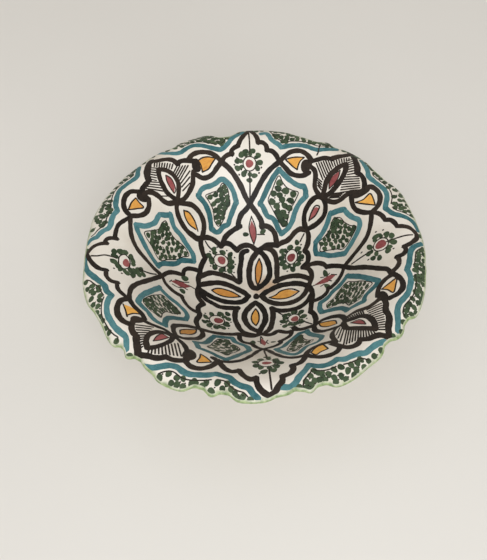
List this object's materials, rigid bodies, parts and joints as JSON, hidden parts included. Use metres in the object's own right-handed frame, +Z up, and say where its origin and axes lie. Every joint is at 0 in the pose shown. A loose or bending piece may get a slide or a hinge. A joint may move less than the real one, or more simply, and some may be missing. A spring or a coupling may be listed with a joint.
{
  "type": "painted serving bowl",
  "caption": "Wide glazed earthenware serving bowl with a rolled, lobed lip, painted inside with petals, rosettes and palmettes, on a bare turned foot ring.",
  "frame": {"origin": "on the table, under the middle of the foot ring", "axes": "+Z up along the bowl's axis, +X and +Y through the middles of broad lobes"},
  "size_m": [0.2976, 0.2976, 0.095],
  "materials": {
    "bare_clay": "matte",
    "cream_glaze": "gloss",
    "green_glaze": "gloss"
  },
  "bodies": {
    "root": {"clay_bowl": "bare_clay", "foot_ring": "bare_clay", "inside_glaze": "cream_glaze", "outside_glaze": "cream_glaze", "lip_glaze": "green_glaze"}
  },
  "joints": []
}
